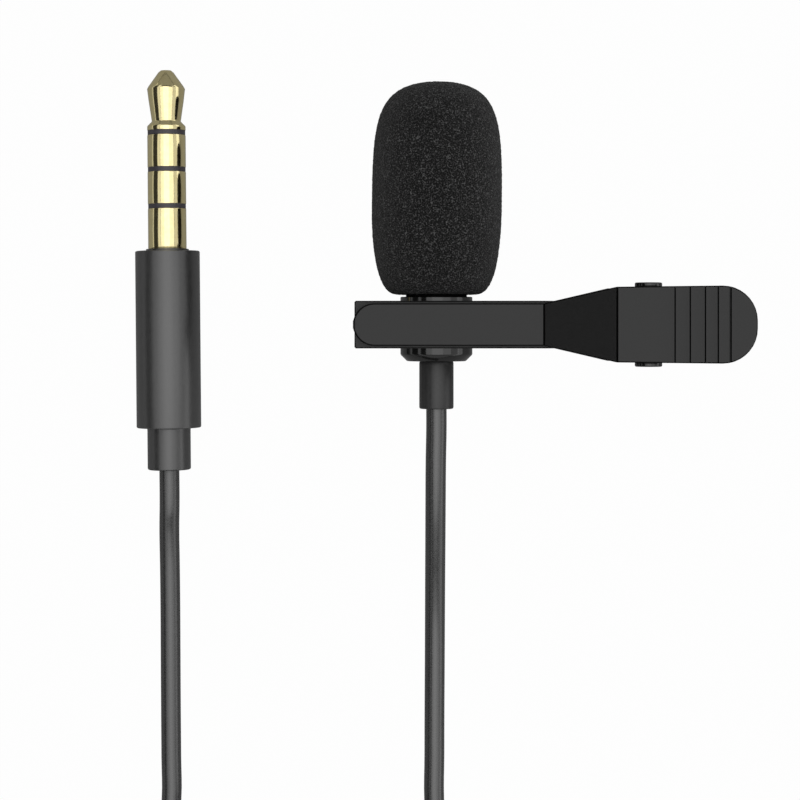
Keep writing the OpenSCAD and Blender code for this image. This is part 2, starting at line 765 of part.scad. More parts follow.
module plug_cord_end() {
    color([0.16, 0.16, 0.16]) plug_turned() wall(0, cord_r, relief_end, jacket_front);
}

// One conductor to the sleeve contact's tail, one to the second ring's
module plug_leads() {
    start = jacket_front + solder_step;
    color([0.8, 0.78, 0.7]) placed() translate([plug_x, 0, plug_z]) rotate([0, 0, plug_lean]) {
        wire([-lead_spacing / 2, start, 0],
            [-root_r - lead_d / 2 - solder_gap, mould_back - solder_step, 0], lead_d);
        wire([lead_spacing / 2, start, 0],
            [second_tube_out + lead_d / 2 + solder_gap, sleeve_tail - tail_step - solder_step, 0],
            lead_d);
    }
}

module plug_tip() {
    flare = tip_back + tip_shank + tip_flare;
    wide = flare + tip_taper;
    color([0.85, 0.7, 0.35]) plug_turned() {
        polygon([
            [0, tip_back - 0.1], [rod_r, tip_back - 0.1], [rod_r, tip_back], [plug_r, tip_back],
            [plug_r, tip_back + tip_shank], [tip_neck_d / 2, flare], [tip_wide_d / 2, wide],
            [tip_flat_d / 2, wide + tip_nose], [0, wide + tip_nose]
        ]);
        wall(0, rod_r, rod_tail, tip_back);
    }
}

// A tube that ends in a full-width band: a contact or its insulator
module nested(r_in, r_tube, tail, from, to) {
    plug_turned() {
        wall(r_in, r_tube, tail, to);
        wall(r_in, plug_r, from, to);
    }
}

module plug_tip_insulator() {
    color([0.12, 0.12, 0.12])
        nested(rod_r, first_tube_in, rod_tail + tail_step, first_ring_front, tip_back);
}

module plug_first_ring() {
    color([0.85, 0.7, 0.35])
        nested(first_tube_in, first_tube_out, first_ring_tail, first_ring_back, first_ring_front);
}

module plug_middle_insulator() {
    color([0.12, 0.12, 0.12]) nested(first_tube_out, second_tube_in, first_ring_tail + tail_step,
        second_ring_front, first_ring_back);
}

module plug_second_ring() {
    color([0.85, 0.7, 0.35]) nested(second_tube_in, second_tube_out, second_ring_tail,
        second_ring_back, second_ring_front);
}

module plug_sleeve_insulator() {
    color([0.12, 0.12, 0.12]) nested(second_tube_out, sleeve_in, second_ring_tail + tail_step,
        sleeve_front, second_ring_back);
}

module plug_sleeve() {
    color([0.85, 0.7, 0.35]) plug_turned() {
        wall(sleeve_in, plug_r, contacts_start, sleeve_front);
        wall(sleeve_in, root_r, sleeve_tail, contacts_start + 0.1);
        wall(sleeve_in, anchor_d / 2, anchor_back, anchor_back + anchor_t);
    }
}

foam_windscreen();
capsule_housing();
front_grille();
dust_mesh();
electret_capsule();
capsule_gasket();
capsule_board();
capsule_leads();
capsule_cord_end();
cord_crimp();
capsule_strain_relief();
rear_lever();
front_lever();
hinge_pin();
hinge_spring();
cord_microphone_run();
cord_coil();
cord_plug_run();
cord_tie();
plug_strain_relief();
plug_housing();
plug_collar();
plug_inner_mould();
plug_cord_end();
plug_leads();
plug_tip();
plug_tip_insulator();
plug_first_ring();
plug_middle_insulator();
plug_second_ring();
plug_sleeve_insulator();
plug_sleeve();
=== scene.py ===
import math

import bmesh
import bpy
from mathutils import Matrix, Vector


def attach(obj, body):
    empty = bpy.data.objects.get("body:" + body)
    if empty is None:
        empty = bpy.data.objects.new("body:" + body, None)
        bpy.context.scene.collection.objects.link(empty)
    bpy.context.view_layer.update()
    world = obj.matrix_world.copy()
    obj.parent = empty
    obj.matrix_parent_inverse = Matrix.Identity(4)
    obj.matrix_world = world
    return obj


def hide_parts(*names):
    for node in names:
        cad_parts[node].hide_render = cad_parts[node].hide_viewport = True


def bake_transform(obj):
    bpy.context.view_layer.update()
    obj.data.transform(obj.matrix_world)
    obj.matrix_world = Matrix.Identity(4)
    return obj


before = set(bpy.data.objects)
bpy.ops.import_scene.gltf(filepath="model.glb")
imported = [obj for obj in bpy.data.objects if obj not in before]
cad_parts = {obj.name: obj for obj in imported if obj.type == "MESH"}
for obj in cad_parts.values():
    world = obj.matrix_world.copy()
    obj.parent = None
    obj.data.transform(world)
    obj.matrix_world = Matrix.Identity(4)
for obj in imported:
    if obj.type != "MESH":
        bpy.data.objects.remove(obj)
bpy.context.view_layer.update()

# ---------------------------------------------------------------- sizes

# Lengths are in mm, and places are measured from the microphone's axis, the clip's middle and the table.
MM = 0.001
MIDDLE_X = 10.0
MIDDLE_Y = 7.2

# Windscreen
FOAM_D = 11.8
FOAM_BELLY = 8.0
FOAM_RIM_D = 7.3
FOAM_MOUTH = 2.7
FOAM_TOP = 21.91
CROWN_FULLNESS = 0.98
FLANK_FULLNESS = 0.7
LOWER_FULLNESS = 0.28
MOUTH_FULLNESS = 0.92
SOCKET_R = 2.8
SOCKET_ROOF = 11.5
SOCKET_EASE = 0.15
# Rings of verts here keep the socket's wall straight when the foam is subdivided.
SOCKET_RINGS = (8.5, 5.5)
RIM_EASE = 0.1
RIM_STEP = 0.02
RIM_FLAT = 0.3
PORE_SIZE = 0.20
PORE_DEPTH = 0.08
FOAM_DRIFT_FROM = 7.6
FOAM_DRIFT = 0.0103

# Microphone head
MIC_Z = 5.9
BODY_R = 3.25
BODY_FRONT = 2.5
BODY_BACK = -3.3
BODY_CHAMFER = 0.6
BARREL_R = 2.75
BARREL_TOP = 10.5
BORE_R = 2.35
BORE_FLOOR = -1.7
SLEEVE_R = 1.55
SLEEVE_END = -7.6
GROMMET_WAIST_R = 1.25
GROMMET_FLANGE_R = 1.9
GROMMET_FLANGE_T = 0.6

# Clip
LEVER_T = 1.25
UNDER_SHIFT = 0.3
FRONT_TIP = 7.4
REAR_TIP = 7.3
# Half the width of the round tip's flat end, and the share of its length that its upper side keeps.
TIP_FLAT = 0.3
TIP_LIP = 0.95
# The rear jaw has a ring of verts this far from its end.
REAR_TIP_RING = 0.5
FRONT_HALF = 1.85
REAR_HALF = 2.1
BEND_X = 9.28
PLATE_X = 15.34
PLATE_HALF = 3.25
PLATE_END_HALF = 3.35
PLATE_CORNER_R = 3.0
THUMB_END = 27.4
FOOT_X = 25.9
FRONT_TOP = 12.35
PLATE_UNDER = 14.2
PLATE_TOP = 15.45
REAR_UNDER = 9.55
REAR_SLOPE = math.atan(REAR_UNDER / (FOOT_X - BEND_X))
REAR_UPRIGHT = LEVER_T / math.cos(REAR_SLOPE)
JAW_Z = 10.8
FRONT_BEVEL = 0.1
REAR_BEVEL = 0.12
RING_BORE_R = 3.3
RING_R = 4.2
TOOTH_H = 0.25
TOOTH_PITCH = 0.8
TEETH_FROM = -5.55
TEETH = 17
# Towards each of these edges the plate falls by RIB_RAMP, over RIB_RUN, to a groove that is RIB_W
# wide and RIB_DEPTH deep, with its floor at RIB_FLOOR from the edge.
RIB_EDGES = (20.35, 21.65, 22.95, 24.05, 25.15)
RIB_RUN = 0.75
RIB_W = 0.11
RIB_FLOOR = -0.05
RIB_RAMP = 0.06
RIB_DEPTH = 0.26
CREASE = 0.09
PLATE_CREASE_DEPTH = 0.16

# Hinge
PIN_X = 18.55
PIN_Z = 10.95
PIN_R = 0.75
PIN_BORE_R = 0.8
PIN_FIT = 0.01
PIN_HEAD_R = 1.2
PIN_HEAD_T = 0.45
PIN_HEAD_EASE = 0.08
EAR_R = 1.7
EAR_T = 0.8
EAR_EASE = 0.08
# An ear's rim is drawn out to the lever from this far above or below the pin's axis.
EAR_WAIST = 0.15
FRONT_EAR_IN = 2.45
REAR_EAR_IN = 1.55
FRONT_EAR_HALF = 2.6
REAR_EAR_HALF = 3.0
# The ears' ends are sunk this far into their levers.
FRONT_EAR_SUNK = 0.1
REAR_EAR_SUNK = 0.2
WIRE_D = 0.35
SPRING_R = 1.225
SPRING_TURNS = 2
SPRING_PITCH = 0.9
SPRING_RINGS = 16
FRONT_LEG_X = 24.35
REAR_LEG_X = 23.35

# Cord, coil and tie
CORD_D = 1.85
CORD_R = CORD_D / 2
COIL_X = -12.2
COIL_Y = -63.5
COIL_R = 16.8
COIL_INNER_R = 4.756
LAYER_TURNS = 5.125
LAYERS = 4
WIND_PITCH = 2.35
CLIMB_TURNS = 0.5
COIL_BASE = 1.475
RINGS_PER_TURN = 24
TIE_W = 5.0
TIE_T = 0.5
TIE_BEND_R = 0.8
TIE_EASE = 0.08
TIE_NEAR = -65.85
TIE_FAR = -81.775
TIE_TOP = 10.0

# Plug, whose axis passes through PLUG_X and PLUG_Z and along which its other places are measured
PLUG_X = -24.57
PLUG_Z = 2.95
PLUG_LEAN = math.radians(0.5)
PLUG_R = 1.75
HOUSING_R = 2.95
HOUSING_BACK = -9.45
SHOULDER = 6.75
CAVITY_R = 2.45
FRONT_WALL_BACK = 5.95
COLLAR_R = 1.95
COLLAR_FRONT = 6.93
RELIEF_R = 1.975
RELIEF_END = -13.3
RELIEF_ROOT = -7.85
ROOT_R = 1.55
ROD_R = 0.45
TUBE_T = 0.18
INSULATION_T = 0.2
TIP_BACK = 17.79
TIP_SHANK = 0.4
# From its neck over its widest place to its nose, as radius and place.
TIP_OUTLINE = [(1.32, 18.62), (1.45, 19.52), (1.6, 20.52), (1.73, 21.6), (1.62, 21.82), (0.7, 23.12),
               (0.48, 23.3)]
SLEEVE_FRONT = 10.63
RING_2 = (11.05, 14.0)
RING_1 = (14.42, 17.37)
MOULD_BACK = 4.85
ANCHOR_BACK = 5.2
ANCHOR_FRONT = 5.6
ANCHOR_R = 2.1
TAIL_STEP = 0.8
BAND_RECESS = 0.03


def spot(x, y, z):
    """A place on the object, as the frame has it."""
    return Vector(((x - MIDDLE_X) * MM, (y - MIDDLE_Y) * MM, z * MM))


def back_to_mm(place):
    """The x, y and z in mm of a place in the frame."""
    return place.x / MM + MIDDLE_X, place.y / MM + MIDDLE_Y, place.z / MM


# ---------------------------------------------------------------- camera

LENS_X = -3.289
LENS_Z = 192.0
FOCAL_LENGTH = 92.7
SENSOR_WIDTH = 36.0
# The clip's middle lies this many pixels above the middle of the picture.
MIDDLE_RISE_PX = 75.4
PICTURE_SIDE_PX = 800

camera_data = bpy.data.cameras.new("camera")
camera_data.sensor_width = SENSOR_WIDTH
camera_data.lens = FOCAL_LENGTH
camera_data.shift_y = -MIDDLE_RISE_PX / PICTURE_SIDE_PX
camera_data.clip_start = 0.01
camera_data.clip_end = 10.0
camera = bpy.data.objects.new("camera", camera_data)
camera.location = spot(LENS_X, 0, LENS_Z)
bpy.context.scene.collection.objects.link(camera)
bpy.context.scene.camera = camera


# ---------------------------------------------------------------- finishes

def start_finish(name, roughness, metallic=0.0, specular=0.5):
    """A new finish with its shader and the piece's own coordinates."""
    finish = bpy.data.materials.new(name)
    finish.use_nodes = True
    nodes = finish.node_tree.nodes
    shader = nodes["Principled BSDF"]
    shader.inputs["Roughness"].default_value = roughness
    shader.inputs["Metallic"].default_value = metallic
    shader.inputs["Specular IOR Level"].default_value = specular
    place = nodes.new("ShaderNodeTexCoord")
    return finish, shader, place.outputs["Object"]


def grain(finish, place, size, detail=4.0, stretch=None):
    """Cloudy noise with grains of that size in mm."""
    tree = finish.node_tree
    noise = tree.nodes.new("ShaderNodeTexNoise")
    noise.inputs["Scale"].default_value = 1 / (size * MM)
    noise.inputs["Detail"].default_value = detail
    noise.inputs["Roughness"].default_value = 0.6
    if stretch is None:
        tree.links.new(place, noise.inputs["Vector"])
    else:
        drawn = tree.nodes.new("ShaderNodeMapping")
        drawn.inputs["Scale"].default_value = stretch
        tree.links.new(place, drawn.inputs["Vector"])
        tree.links.new(drawn.outputs["Vector"], noise.inputs["Vector"])
    return noise.outputs["Fac"]


def cells(finish, place, size, feature="F1"):
    """Round cells of that size in mm."""
    tree = finish.node_tree
    pattern = tree.nodes.new("ShaderNodeTexVoronoi")
    pattern.feature = feature
    pattern.inputs["Scale"].default_value = 1 / (size * MM)
    tree.links.new(place, pattern.inputs["Vector"])
    return pattern.outputs["Distance"]


def tint(finish, shader, amount, stops):
    """Colours the surface along a ramp of (place, grey or colour) stops."""
    tree = finish.node_tree
    ramp = tree.nodes.new("ShaderNodeValToRGB")
    band = ramp.color_ramp
    while len(band.elements) < len(stops):
        band.elements.new(0.5)
    for element, (place, shade) in zip(band.elements, stops):
        element.position = place
        colour = (shade, shade, shade) if isinstance(shade, float) else shade
        element.color = (*colour, 1.0)
    tree.links.new(amount, ramp.inputs["Fac"])
    tree.links.new(ramp.outputs["Color"], shader.inputs["Base Color"])


def dull(finish, shader, amount, low, high):
    """Varies the roughness between two values."""
    tree = finish.node_tree
    spread = tree.nodes.new("ShaderNodeMapRange")
    spread.inputs["From Min"].default_value = 0.3
    spread.inputs["From Max"].default_value = 0.7
    spread.inputs["To Min"].default_value = low
    spread.inputs["To Max"].default_value = high
    tree.links.new(amount, spread.inputs["Value"])
    tree.links.new(spread.outputs["Result"], shader.inputs["Roughness"])


def dent(finish, shader, amount, depth, strength=1.0):
    """Raises and sinks the surface by that depth in mm."""
    tree = finish.node_tree
    bump = tree.nodes.new("ShaderNodeBump")
    bump.inputs["Distance"].default_value = depth * MM
    bump.inputs["Strength"].default_value = strength
    tree.links.new(amount, bump.inputs["Height"])
    tree.links.new(bump.outputs["Normal"], shader.inputs["Normal"])


def plain_finish(name, shades, roughness, size, depth, metallic=0.0, specular=0.5, stretch=None,
                 ior=1.5):
    """A finish whose shade, roughness and surface all follow one fine grain.

    shades and roughness are a low and a high value, and size and depth are the grain's, in mm.
    """
    finish, shader, place = start_finish(name, roughness[0], metallic, specular)
    shader.inputs["IOR"].default_value = ior
    amount = grain(finish, place, size, stretch=stretch)
    tint(finish, shader, amount, [(0.3, shades[0]), (0.7, shades[1])])
    dull(finish, shader, amount, *roughness)
    dent(finish, shader, amount, depth)
    return finish


def foam_finish():
    """Open-cell foam: lighter threads, with painted shade darkening the dented pores between them."""
    finish, shader, place = start_finish("open_cell_foam", 0.95, specular=0.15)
    shader.inputs["Sheen Weight"].default_value = 0.11
    shader.inputs["Sheen Roughness"].default_value = 0.5
    pores = cells(finish, place, size=0.12)
    fine = grain(finish, place, size=0.05, detail=5.0)
    tree = finish.node_tree
    mixed = tree.nodes.new("ShaderNodeMath")
    mixed.operation = "MULTIPLY"
    tree.links.new(pores, mixed.inputs[0])
    tree.links.new(fine, mixed.inputs[1])
    # This ramp is partly the foam's grain and partly painted shade: it darkens the pores that the same
    # amount dents.
    tint(finish, shader, mixed.outputs["Value"],
         [(0.10, 0.0), (0.20, 0.004), (0.32, 0.021), (0.48, 0.12)])
    dent(finish, shader, mixed.outputs["Value"], depth=0.12)
    return finish


foam = foam_finish()
gloss_black = plain_finish(
    "polished_black_metal", shades=(0.005, 0.009), roughness=(0.08, 0.14), size=2.5, depth=0.002,
    specular=0.75)
satin_black = plain_finish(
    "satin_black_metal", shades=(0.010, 0.018), roughness=(0.25, 0.38), size=0.4, depth=0.004)
clip_black = plain_finish(
    "moulded_clip_plastic", shades=(0.009, 0.013), roughness=(0.32, 0.40), size=0.12, depth=0.004,
    specular=0.36)
# Painted shade: a near-black finish that stands in for the shade on the clip's edges, creases and
# grooves.
painted_edge_shade = plain_finish(
    "moulded_clip_painted_shade", shades=(0.001, 0.003), roughness=(0.55, 0.70), size=0.12, depth=0.004,
    specular=0.12)
relief_black = plain_finish(
    "relief_rubber", shades=(0.022, 0.030), roughness=(0.30, 0.38), size=0.3, depth=0.004)
plug_relief_black = plain_finish(
    "plug_relief_rubber", shades=(0.022, 0.030), roughness=(0.28, 0.34), size=0.3, depth=0.004,
    specular=1.0, ior=1.57)
jacket_black = plain_finish(
    "cord_jacket", shades=(0.018, 0.026), roughness=(0.25, 0.32), size=0.25, depth=0.004, specular=1.0,
    ior=1.58)
plug_black = plain_finish(
    "plug_shell_black", shades=(0.025, 0.033), roughness=(0.28, 0.34), size=0.5, depth=0.003,
    specular=1.0, ior=1.56)
band_black = plain_finish(
    "contact_insulation", shades=((0.040, 0.036, 0.042), (0.054, 0.049, 0.056)), roughness=(0.35, 0.45),
    size=0.3, depth=0.004)
gold = plain_finish(
    "plug_gold", shades=((0.94, 0.81, 0.42), (0.99, 0.88, 0.50)), roughness=(0.09, 0.14), size=0.6,
    depth=0.002, metallic=1.0)
steel = plain_finish(
    "drawn_steel", shades=(0.42, 0.58), roughness=(0.22, 0.34), size=0.3, depth=0.003, metallic=1.0)
aluminium = plain_finish(
    "bare_aluminium", shades=(0.62, 0.78), roughness=(0.30, 0.42), size=0.3, depth=0.004, metallic=1.0)
copper = plain_finish(
    "tinned_copper", shades=((0.72, 0.42, 0.28), (0.85, 0.55, 0.38)), roughness=(0.25, 0.35), size=0.2,
    depth=0.003, metallic=1.0)
board_green = plain_finish(
    "board_lacquer", shades=((0.01, 0.10, 0.04), (0.02, 0.16, 0.07)), roughness=(0.25, 0.35), size=0.4,
    depth=0.004)
black_rubber = plain_finish(
    "black_rubber", shades=(0.012, 0.022), roughness=(0.55, 0.7), size=0.3, depth=0.01)
mesh_black = plain_finish(
    "dust_cloth", shades=(0.008, 0.03), roughness=(0.8, 0.95), size=0.08, depth=0.02)
inner_white = plain_finish(
    "inner_plastic", shades=((0.62, 0.61, 0.57), (0.70, 0.69, 0.65)), roughness=(0.35, 0.5), size=0.5,
    depth=0.006)
strap_black = plain_finish(
    "tie_strap", shades=(0.010, 0.034), roughness=(0.75, 0.95), size=0.35, depth=0.05, specular=0.25,
    stretch=(1.0, 0.35, 1.0))


def give(piece, finish, body=None, stands_for=()):
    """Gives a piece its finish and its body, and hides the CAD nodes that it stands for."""
    piece.data.materials.clear()
    piece.data.materials.append(finish)
    if body:
        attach(piece, body)
    if stands_for:
        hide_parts(*stands_for)


# ---------------------------------------------------------------- cord

def coil_place(turn):
    """A place along the coil, which spirals in and out and climbs a layer where it reverses."""
    layer = min(int(turn / LAYER_TURNS), LAYERS - 1)
    part = turn / LAYER_TURNS - layer
    narrowing = part * (COIL_R - COIL_INNER_R)
    r = COIL_R - narrowing if layer % 2 == 0 else COIL_INNER_R + narrowing
    climbs = [max(0.0, min(1.0, (turn - k * LAYER_TURNS) / CLIMB_TURNS + 0.5)) for k in range(1, LAYERS)]
    angle = 2 * math.pi * turn
    return (
        COIL_X + r * math.cos(angle),
        COIL_Y - r * math.sin(angle),
        COIL_BASE + WIND_PITCH * sum(climbs),
    )


def plug_place(along):
    """A place on the plug's leaning axis."""
    return PLUG_X - along * math.sin(PLUG_LEAN), along * math.cos(PLUG_LEAN), PLUG_Z


coil_top = COIL_BASE + (LAYERS - 1) * WIND_PITCH
coil_in = (COIL_X + COIL_R, COIL_Y + CORD_D, COIL_BASE)
coil_out = (COIL_X - COIL_R, COIL_Y + CORD_D, coil_top)
microphone_route = [
    (0, SLEEVE_END, MIC_Z), (0, SLEEVE_END - CORD_D, MIC_Z), (-0.05, -12.5, 5.7), (-0.06, -16, 5),
    (-0.06, -20, 3.8), (-0.06, -24, 2.5), (-0.06, -28, 1.5), (-0.07, -32, 1.05), (-0.09, -36, 0.93),
    (-0.1, -40, 0.93), (-0.12, -44, 0.93), (0.15, -47.5, 0.93), (0.95, -51, 0.95),
    (2.25, -54.5, 1.1), (3.6, -57.5, 1.3),
    (coil_in[0], coil_in[1] + 1, coil_in[2]), coil_in,
]
coil_steps = int(LAYERS * LAYER_TURNS * RINGS_PER_TURN)
coil_route = [coil_place(i / RINGS_PER_TURN) for i in range(coil_steps + 1)]
plug_route = [
    coil_out, (coil_out[0], coil_out[1] + 1, coil_out[2]), (-29.15, -58.5, 7.9),
    (-29.2, -56.3, 6.4), (-28.5, -54.2, 4.5), (-27.2, -52.1, 2.7), (-25.8, -49.7, 1.5),
    (-24.82, -47, 1), (-24.48, -44, 0.93), (-24.5, -40, 0.93), (-24.53, -36, 0.93),
    (-24.56, -31, 0.93), (-24.58, -26, 1), (-24.58, -22, 1.4), (-24.55, -19, 2.1),
    plug_place(RELIEF_END - 1.5 * CORD_D), plug_place(RELIEF_END),
]


def wire(name, route, diameter, roundness=4, steps=4):
    """A round wire or cord as one smooth curve through the route's places."""
    line = bpy.data.curves.new(name, "CURVE")
    line.dimensions = "3D"
    line.bevel_depth = diameter / 2 * MM
    line.bevel_resolution = roundness
    line.resolution_u = steps
    line.use_fill_caps = True
    spline = line.splines.new("BEZIER")
    spline.bezier_points.add(len(route) - 1)
    for point, place in zip(spline.bezier_points, route):
        point.co = spot(*place)
        point.handle_left_type = "AUTO"
        point.handle_right_type = "AUTO"
    spline.use_smooth = True
    piece = bpy.data.objects.new(name, line)
    bpy.context.scene.collection.objects.link(piece)
    return piece


cord_route = microphone_route + coil_route + plug_route
cord = wire("cord", cord_route, CORD_D, roundness=5)
give(cord, jacket_black, "microphone", ("cord_microphone_run", "cord_coil", "cord_plug_run"))


# ---------------------------------------------------------------- making tools

def lay_down_tools():
    """Leaves edit mode and deselects everything."""
    if bpy.context.object is not None and bpy.context.object.mode != "OBJECT":
        bpy.ops.object.mode_set(mode="OBJECT")
    bpy.ops.object.select_all(action="DESELECT")


def pick(piece, wanted, kind):
    """Selects the verts, edges or faces of a piece in edit mode that the test wants."""
    bpy.ops.mesh.select_mode(type=kind)
    bpy.ops.mesh.select_all(action="DESELECT")
    shape = bmesh.from_edit_mesh(piece.data)
    shape.normal_update()
    parts = {"VERT": shape.verts, "EDGE": shape.edges, "FACE": shape.faces}[kind]
    for part in parts:
        if wanted(part):
            part.select_set(True)
    shape.select_flush_mode()
    bmesh.update_edit_mesh(piece.data)


def close_up(piece):
    """Merges what lies together, fills open ends and turns the faces outwards."""
    bpy.ops.mesh.select_mode(type="VERT")
    bpy.ops.mesh.select_all(action="SELECT")
    bpy.ops.mesh.remove_doubles(threshold=1e-7)
    bpy.ops.mesh.select_all(action="SELECT")
    bpy.ops.mesh.fill_holes(sides=0)
    bpy.ops.mesh.select_all(action="SELECT")
    bpy.ops.mesh.normals_make_consistent(inside=False)
    bpy.ops.object.mode_set(mode="OBJECT")
    return piece


def use_modifier(piece, kind, **settings):
    """Adds a modifier with these settings and applies it."""
    lay_down_tools()
    piece.select_set(True)
    bpy.context.view_layer.objects.active = piece
    bpy.ops.object.modifier_add(type=kind)
    modifier = piece.modifiers[-1]
    for name, value in settings.items():
        setattr(modifier, name, value)
    bpy.ops.object.modifier_apply(modifier=modifier.name)


def ease_edges(piece, width, segments=2, angle=40):
    """Rounds the sharp edges of a piece."""
    use_modifier(piece, "BEVEL", width=width * MM, segments=segments, limit_method="ANGLE",
                 angle_limit=math.radians(angle), use_clamp_overlap=True)


def smooth(piece, angle=35):
    """Shades a piece smooth where its faces meet at less than the angle."""
    lay_down_tools()
    piece.select_set(True)
    bpy.context.view_layer.objects.active = piece
    bpy.ops.object.shade_smooth_by_angle(angle=math.radians(angle))


def join(name, pieces):
    """Makes one piece out of several."""
    lay_down_tools()
    for piece in pieces:
        piece.select_set(True)
    bpy.context.view_layer.objects.active = pieces[0]
    bpy.ops.object.join()
    joined = bpy.context.object
    joined.name = name
    return joined


def no_drift(y):
    """The drift of a piece that is turned about a straight line."""
    return 0.0


# A piece that closes on its line is turned from this radius on, and close_up() fills its end.
POLE_R = 0.3


def turned(name, profile, x, z, sides=96, eased=0.05, drift=no_drift):
    """A piece turned about a line along Y at x and z, from (radius, place along it) pairs.

    drift says how far the line has moved towards +X at a place along it.
    """
    lay_down_tools()
    r, y = profile[0]
    bpy.ops.mesh.primitive_circle_add(vertices=sides, radius=r * MM, fill_type="NOTHING",
                                      location=spot(x + drift(y), y, z),
                                      rotation=(math.pi / 2, 0, 0))
    piece = bpy.context.object
    piece.name = name
    bpy.ops.object.transform_apply(location=True, rotation=True, scale=True)
    bpy.ops.object.mode_set(mode="EDIT")
    bpy.ops.mesh.select_all(action="SELECT")
    for next_r, next_y in profile[1:]:
        step = ((drift(next_y) - drift(y)) * MM, (next_y - y) * MM, 0)
        bpy.ops.mesh.extrude_edges_move(TRANSFORM_OT_translate={"value": step})
        bpy.ops.transform.resize(value=(next_r / r, 1, next_r / r),
                                 center_override=spot(x + drift(next_y), next_y, z))
        r, y = next_r, next_y
    close_up(piece)
    if eased:
        ease_edges(piece, eased)
    smooth(piece)
    return piece


def lean_with_plug(piece):
    """Turns a piece made along Y so that it lies on the plug's leaning axis."""
    centre = spot(PLUG_X, 0, PLUG_Z)
    piece.data.transform(Matrix.Translation(centre) @ Matrix.Rotation(PLUG_LEAN, 4, "Z")
                         @ Matrix.Translation(-centre))
    return piece


# ---------------------------------------------------------------- windscreen

def bend_line(a, b, c, d, steps):
    """Places along a curve that leaves a towards b and comes into d from c."""
    line = []
    for i in range(steps + 1):
        t = i / steps
        u = 1 - t
        line.append(tuple(u ** 3 * a[k] + 3 * u * u * t * b[k] + 3 * u * t * t * c[k] + t ** 3 * d[k]
                          for k in range(2)))
    return line


def foam_drift(y):
    """The soft foam leans a little above the middle of the barrel."""
    return FOAM_DRIFT * max(0.0, y - FOAM_DRIFT_FROM)


def make_windscreen():
    """The foam cap with its blind socket and the pores of its surface."""
    r = FOAM_D / 2
    rim = FOAM_RIM_D / 2
    belly = FOAM_MOUTH + FOAM_BELLY
    dome = bend_line((0, FOAM_TOP), (CROWN_FULLNESS * r, FOAM_TOP),
                     (r, belly + FLANK_FULLNESS * (FOAM_TOP - belly)), (r, belly), steps=22)
    flank = bend_line((r, belly), (r, belly - LOWER_FULLNESS * FOAM_BELLY),
                      (rim + MOUTH_FULLNESS * (r - rim), FOAM_MOUTH), (rim, FOAM_MOUTH),
                      steps=14)
    profile = [(POLE_R, SOCKET_ROOF), (SOCKET_R - SOCKET_EASE, SOCKET_ROOF),
               (SOCKET_R, SOCKET_ROOF - SOCKET_EASE)]
    profile += [(SOCKET_R, ring) for ring in SOCKET_RINGS]
    profile += [(SOCKET_R, FOAM_MOUTH + SOCKET_EASE), (SOCKET_R + RIM_EASE, FOAM_MOUTH + RIM_STEP),
                (rim - RIM_FLAT, FOAM_MOUTH)]
    profile += list(reversed(flank)) + list(reversed(dome[1:-1]))
    piece = turned("windscreen_foam", profile, 0, MIC_Z, sides=48, eased=0, drift=foam_drift)
    use_modifier(piece, "SUBSURF", levels=3, render_levels=3)
    pores = bpy.data.textures.new("foam_pores", "VORONOI")
    pores.noise_scale = PORE_SIZE * MM
    pores.distance_metric = "DISTANCE"
    use_modifier(piece, "DISPLACE", texture=pores, texture_coords="LOCAL", strength=PORE_DEPTH * MM,
                 mid_level=0.8)
    smooth(piece, angle=180)
    return piece


windscreen = make_windscreen()
give(windscreen, foam, "windscreen", ("foam_windscreen",))


# ---------------------------------------------------------------- microphone head

housing = turned("microphone_housing", [
    (GROMMET_WAIST_R, BODY_BACK), (BODY_R - BODY_CHAMFER, BODY_BACK),
    (BODY_R, BODY_BACK + BODY_CHAMFER), (BODY_R, BODY_FRONT), (BARREL_R, BODY_FRONT),
    (BARREL_R, BARREL_TOP), (BORE_R, BARREL_TOP), (BORE_R, BORE_FLOOR),
    (GROMMET_WAIST_R, BORE_FLOOR), (GROMMET_WAIST_R, BODY_BACK),
], 0, MIC_Z, eased=0.08)
give(housing, gloss_black, "microphone", ("capsule_housing",))

head_relief = turned("microphone_strain_relief", [
    (CORD_R, SLEEVE_END), (SLEEVE_R, SLEEVE_END), (SLEEVE_R, BODY_BACK),
    (GROMMET_WAIST_R, BODY_BACK), (GROMMET_WAIST_R, BORE_FLOOR), (GROMMET_FLANGE_R, BORE_FLOOR),
    (GROMMET_FLANGE_R, BORE_FLOOR + GROMMET_FLANGE_T), (CORD_R, BORE_FLOOR + GROMMET_FLANGE_T),
    (CORD_R, SLEEVE_END),
], 0, MIC_Z, sides=72, eased=0.14)
give(head_relief, relief_black, "microphone", ("capsule_strain_relief",))


# ---------------------------------------------------------------- clip

FLARE = (PLATE_HALF - FRONT_HALF) / (PLATE_X - BEND_X)
# A vert this close to a side of a lever belongs to that side.
SKIN = 0.3
# A vert this close to a place is at it.
NEAR = 0.004


def half_width(x, bar_half, round_tip):
    """Half the width of a lever at x: bar, widening slope, and plate with rounded corners."""
    corner = THUMB_END - PLATE_CORNER_R
    if round_tip and x < TEETH_FROM:
        return max(TIP_FLAT, math.sqrt(max(0.0, bar_half ** 2 - (x - TEETH_FROM) ** 2)))
    if x < BEND_X:
        return bar_half
    if x < PLATE_X:
        return max(bar_half, FRONT_HALF + FLARE * (x - BEND_X))
    if x < corner:
        return PLATE_HALF + (PLATE_END_HALF - PLATE_HALF) * (x - PLATE_X) / (corner - PLATE_X)
    return PLATE_END_HALF - PLATE_CORNER_R + math.sqrt(
        max(0.0, PLATE_CORNER_R ** 2 - (x - corner) ** 2))


